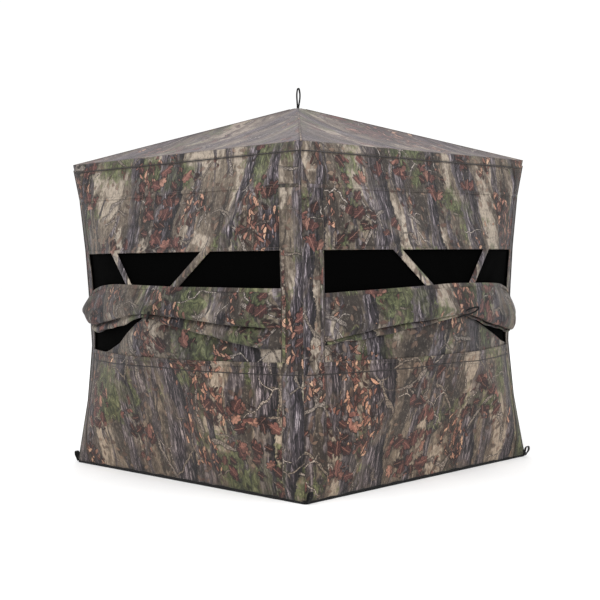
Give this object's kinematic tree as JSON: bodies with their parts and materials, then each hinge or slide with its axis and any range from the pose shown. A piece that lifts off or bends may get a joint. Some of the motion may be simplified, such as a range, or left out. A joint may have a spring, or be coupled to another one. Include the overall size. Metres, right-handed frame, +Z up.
{
  "type": "pop up ground blind",
  "caption": "Square pop-up hub ground blind: camouflage fabric walls and roof pushed out by hubs and spring poles, with mesh windows, drop covers, a zipped side door and stake loops.",
  "frame": {"origin": "middle of the square footprint, on the ground under the hem", "axes": "+Z up; the walls face -Y (front), -X (left), +Y (back, with the door) and +X (right)"},
  "size_m": [2.423, 2.423, 2.1513],
  "materials": {
    "camo_fabric": "matt printed woodland camouflage polyester, black coated inside",
    "black_webbing": "woven nylon webbing",
    "hub_nylon": "moulded glass-filled nylon",
    "glass_fibre": "pultruded glass-fibre rod with metal ferrule",
    "black_mesh": "fine black knitted mesh",
    "zip_tape": "coil zip on black tape",
    "zip_slider": "plated die-cast zip slider"
  },
  "bodies": {
    "root": {"back_left_corner_strip": "camo_fabric", "back_right_corner_strip": "camo_fabric", "back_wall_panel": "camo_fabric", "door_zip_track": "zip_tape", "front_left_corner_strip": "camo_fabric", "front_lower_panel": "camo_fabric", "front_mesh_screen": "black_mesh", "front_right_corner_strip": "camo_fabric", "front_upper_panel": "camo_fabric", "ground_hem": "black_webbing", "left_lower_panel": "camo_fabric", "left_mesh_screen": "black_mesh", "left_upper_panel": "camo_fabric", "right_lower_panel": "camo_fabric", "right_mesh_screen": "black_mesh", "right_upper_panel": "camo_fabric", "roof_panel_back": "camo_fabric", "roof_panel_front": "camo_fabric", "roof_panel_left": "camo_fabric", "roof_panel_right": "camo_fabric", "stake_loop_back_left": "black_webbing", "stake_loop_back_right": "black_webbing", "stake_loop_front_left": "black_webbing", "stake_loop_front_right": "black_webbing"},
    "front_hub": {"front_hub": "hub_nylon", "front_pull_loop": "black_webbing"},
    "front_pole_top_right": {"front_pole_top_right": "glass_fibre"},
    "front_pole_top_left": {"front_pole_top_left": "glass_fibre"},
    "front_pole_bottom_left": {"front_pole_bottom_left": "glass_fibre"},
    "front_pole_bottom_right": {"front_pole_bottom_right": "glass_fibre"},
    "left_hub": {"left_hub": "hub_nylon", "left_pull_loop": "black_webbing"},
    "left_pole_top_right": {"left_pole_top_right": "glass_fibre"},
    "left_pole_top_left": {"left_pole_top_left": "glass_fibre"},
    "left_pole_bottom_left": {"left_pole_bottom_left": "glass_fibre"},
    "left_pole_bottom_right": {"left_pole_bottom_right": "glass_fibre"},
    "back_hub": {"back_hub": "hub_nylon", "back_pull_loop": "black_webbing"},
    "back_pole_top_right": {"back_pole_top_right": "glass_fibre"},
    "back_pole_top_left": {"back_pole_top_left": "glass_fibre"},
    "back_pole_bottom_left": {"back_pole_bottom_left": "glass_fibre"},
    "back_pole_bottom_right": {"back_pole_bottom_right": "glass_fibre"},
    "right_hub": {"right_hub": "hub_nylon", "right_pull_loop": "black_webbing"},
    "right_pole_top_right": {"right_pole_top_right": "glass_fibre"},
    "right_pole_top_left": {"right_pole_top_left": "glass_fibre"},
    "right_pole_bottom_left": {"right_pole_bottom_left": "glass_fibre"},
    "right_pole_bottom_right": {"right_pole_bottom_right": "glass_fibre"},
    "roof_hub": {"roof_hub": "hub_nylon", "roof_pull_loop": "black_webbing"},
    "roof_pole_front_left": {"roof_pole_front_left": "glass_fibre"},
    "roof_pole_front_right": {"roof_pole_front_right": "glass_fibre"},
    "roof_pole_back_left": {"roof_pole_back_left": "glass_fibre"},
    "roof_pole_back_right": {"roof_pole_back_right": "glass_fibre"},
    "front_window_cover": {"front_window_cover": "camo_fabric"},
    "left_window_cover": {"left_window_cover": "camo_fabric"},
    "right_window_cover": {"right_window_cover": "camo_fabric"},
    "door": {"door_panel": "camo_fabric"},
    "zip_slider": {"zip_slider": "zip_slider"}
  },
  "joints": [
    {"name": "front_hub_push", "type": "slide", "parent": "root", "child": "front_hub", "axis": [0, 1, 0], "range_m": [0, 0.4]},
    {"name": "front_pole_top_right_pivot", "type": "hinge", "parent": "front_hub", "child": "front_pole_top_right", "pos_m": [0.02484, -1.108, 0.88322], "axis": [0.6829, 0, -0.7305], "range_deg": [0, 19.36]},
    {"name": "front_pole_top_left_pivot", "type": "hinge", "parent": "front_hub", "child": "front_pole_top_left", "pos_m": [-0.02484, -1.108, 0.88322], "axis": [0.6829, 0, 0.7305], "range_deg": [0, 19.36]},
    {"name": "front_pole_bottom_left_pivot", "type": "hinge", "parent": "front_hub", "child": "front_pole_bottom_left", "pos_m": [-0.02484, -1.108, 0.83678], "axis": [-0.6829, 0, 0.7305], "range_deg": [0, 19.36]},
    {"name": "front_pole_bottom_right_pivot", "type": "hinge", "parent": "front_hub", "child": "front_pole_bottom_right", "pos_m": [0.02484, -1.108, 0.83678], "axis": [-0.6829, 0, -0.7305], "range_deg": [0, 19.36]},
    {"name": "left_hub_push", "type": "slide", "parent": "root", "child": "left_hub", "axis": [1, 0, 0], "range_m": [0, 0.4]},
    {"name": "left_pole_top_right_pivot", "type": "hinge", "parent": "left_hub", "child": "left_pole_top_right", "pos_m": [-1.108, -0.02484, 0.88322], "axis": [0, -0.6829, -0.7305], "range_deg": [0, 19.36]},
    {"name": "left_pole_top_left_pivot", "type": "hinge", "parent": "left_hub", "child": "left_pole_top_left", "pos_m": [-1.108, 0.02484, 0.88322], "axis": [0, -0.6829, 0.7305], "range_deg": [0, 19.36]},
    {"name": "left_pole_bottom_left_pivot", "type": "hinge", "parent": "left_hub", "child": "left_pole_bottom_left", "pos_m": [-1.108, 0.02484, 0.83678], "axis": [0, 0.6829, 0.7305], "range_deg": [0, 19.36]},
    {"name": "left_pole_bottom_right_pivot", "type": "hinge", "parent": "left_hub", "child": "left_pole_bottom_right", "pos_m": [-1.108, -0.02484, 0.83678], "axis": [0, 0.6829, -0.7305], "range_deg": [0, 19.36]},
    {"name": "back_hub_push", "type": "slide", "parent": "root", "child": "back_hub", "axis": [0, -1, 0], "range_m": [0, 0.4]},
    {"name": "back_pole_top_right_pivot", "type": "hinge", "parent": "back_hub", "child": "back_pole_top_right", "pos_m": [-0.02484, 1.108, 0.88322], "axis": [-0.6829, 0, -0.7305], "range_deg": [0, 19.36]},
    {"name": "back_pole_top_left_pivot", "type": "hinge", "parent": "back_hub", "child": "back_pole_top_left", "pos_m": [0.02484, 1.108, 0.88322], "axis": [-0.6829, 0, 0.7305], "range_deg": [0, 19.36]},
    {"name": "back_pole_bottom_left_pivot", "type": "hinge", "parent": "back_hub", "child": "back_pole_bottom_left", "pos_m": [0.02484, 1.108, 0.83678], "axis": [0.6829, 0, 0.7305], "range_deg": [0, 19.36]},
    {"name": "back_pole_bottom_right_pivot", "type": "hinge", "parent": "back_hub", "child": "back_pole_bottom_right", "pos_m": [-0.02484, 1.108, 0.83678], "axis": [0.6829, 0, -0.7305], "range_deg": [0, 19.36]},
    {"name": "right_hub_push", "type": "slide", "parent": "root", "child": "right_hub", "axis": [-1, 0, 0], "range_m": [0, 0.4]},
    {"name": "right_pole_top_right_pivot", "type": "hinge", "parent": "right_hub", "child": "right_pole_top_right", "pos_m": [1.108, 0.02484, 0.88322], "axis": [0, 0.6829, -0.7305], "range_deg": [0, 19.36]},
    {"name": "right_pole_top_left_pivot", "type": "hinge", "parent": "right_hub", "child": "right_pole_top_left", "pos_m": [1.108, -0.02484, 0.88322], "axis": [0, 0.6829, 0.7305], "range_deg": [0, 19.36]},
    {"name": "right_pole_bottom_left_pivot", "type": "hinge", "parent": "right_hub", "child": "right_pole_bottom_left", "pos_m": [1.108, -0.02484, 0.83678], "axis": [0, -0.6829, 0.7305], "range_deg": [0, 19.36]},
    {"name": "right_pole_bottom_right_pivot", "type": "hinge", "parent": "right_hub", "child": "right_pole_bottom_right", "pos_m": [1.108, 0.02484, 0.83678], "axis": [0, -0.6829, -0.7305], "range_deg": [0, 19.36]},
    {"name": "roof_hub_push", "type": "slide", "parent": "root", "child": "roof_hub", "axis": [0, 0, -1], "range_m": [0, 0.604]},
    {"name": "roof_pole_front_left_pivot", "type": "hinge", "parent": "roof_hub", "child": "roof_pole_front_left", "pos_m": [-0.02404, -0.02404, 2.006], "axis": [-0.7071, 0.7071, 0], "range_deg": [0, 28.28]},
    {"name": "roof_pole_front_right_pivot", "type": "hinge", "parent": "roof_hub", "child": "roof_pole_front_right", "pos_m": [0.02404, -0.02404, 2.006], "axis": [-0.7071, -0.7071, 0], "range_deg": [0, 28.28]},
    {"name": "roof_pole_back_left_pivot", "type": "hinge", "parent": "roof_hub", "child": "roof_pole_back_left", "pos_m": [-0.02404, 0.02404, 2.006], "axis": [0.7071, 0.7071, 0], "range_deg": [0, 28.28]},
    {"name": "roof_pole_back_right_pivot", "type": "hinge", "parent": "roof_hub", "child": "roof_pole_back_right", "pos_m": [0.02404, 0.02404, 2.006], "axis": [0.7071, -0.7071, 0], "range_deg": [0, 28.28]},
    {"name": "front_cover_lift", "type": "slide", "parent": "root", "child": "front_window_cover", "axis": [0, 0, 1], "range_m": [0, 0.178]},
    {"name": "left_cover_lift", "type": "slide", "parent": "root", "child": "left_window_cover", "axis": [0, 0, 1], "range_m": [0, 0.178]},
    {"name": "right_cover_lift", "type": "slide", "parent": "root", "child": "right_window_cover", "axis": [0, 0, 1], "range_m": [0, 0.178]},
    {"name": "door_hinge", "type": "hinge", "parent": "root", "child": "door", "pos_m": [0.72044, 0.96172, 0.86], "axis": [0, 0, -1], "range_deg": [0, 100]},
    {"name": "zip_slider_run", "type": "slide", "parent": "root", "child": "zip_slider", "axis": [-0.7147, 0.1709, -0.6782], "range_m": [0, 0.7448]}
  ],
  "couplings": [
    {"joint": "front_pole_top_right_pivot", "follows": "front_hub_push", "rad_per_m": 0.84273},
    {"joint": "front_pole_top_left_pivot", "follows": "front_hub_push", "rad_per_m": 0.84273},
    {"joint": "front_pole_bottom_left_pivot", "follows": "front_hub_push", "rad_per_m": 0.84273},
    {"joint": "front_pole_bottom_right_pivot", "follows": "front_hub_push", "rad_per_m": 0.84273},
    {"joint": "left_pole_top_right_pivot", "follows": "left_hub_push", "rad_per_m": 0.84273},
    {"joint": "left_pole_top_left_pivot", "follows": "left_hub_push", "rad_per_m": 0.84273},
    {"joint": "left_pole_bottom_left_pivot", "follows": "left_hub_push", "rad_per_m": 0.84273},
    {"joint": "left_pole_bottom_right_pivot", "follows": "left_hub_push", "rad_per_m": 0.84273},
    {"joint": "back_pole_top_right_pivot", "follows": "back_hub_push", "rad_per_m": 0.84273},
    {"joint": "back_pole_top_left_pivot", "follows": "back_hub_push", "rad_per_m": 0.84273},
    {"joint": "back_pole_bottom_left_pivot", "follows": "back_hub_push", "rad_per_m": 0.84273},
    {"joint": "back_pole_bottom_right_pivot", "follows": "back_hub_push", "rad_per_m": 0.84273},
    {"joint": "right_pole_top_right_pivot", "follows": "right_hub_push", "rad_per_m": 0.84273},
    {"joint": "right_pole_top_left_pivot", "follows": "right_hub_push", "rad_per_m": 0.84273},
    {"joint": "right_pole_bottom_left_pivot", "follows": "right_hub_push", "rad_per_m": 0.84273},
    {"joint": "right_pole_bottom_right_pivot", "follows": "right_hub_push", "rad_per_m": 0.84273},
    {"joint": "roof_pole_front_left_pivot", "follows": "roof_hub_push", "rad_per_m": 0.81568},
    {"joint": "roof_pole_front_right_pivot", "follows": "roof_hub_push", "rad_per_m": 0.81568},
    {"joint": "roof_pole_back_left_pivot", "follows": "roof_hub_push", "rad_per_m": 0.81568},
    {"joint": "roof_pole_back_right_pivot", "follows": "roof_hub_push", "rad_per_m": 0.81568}
  ]
}
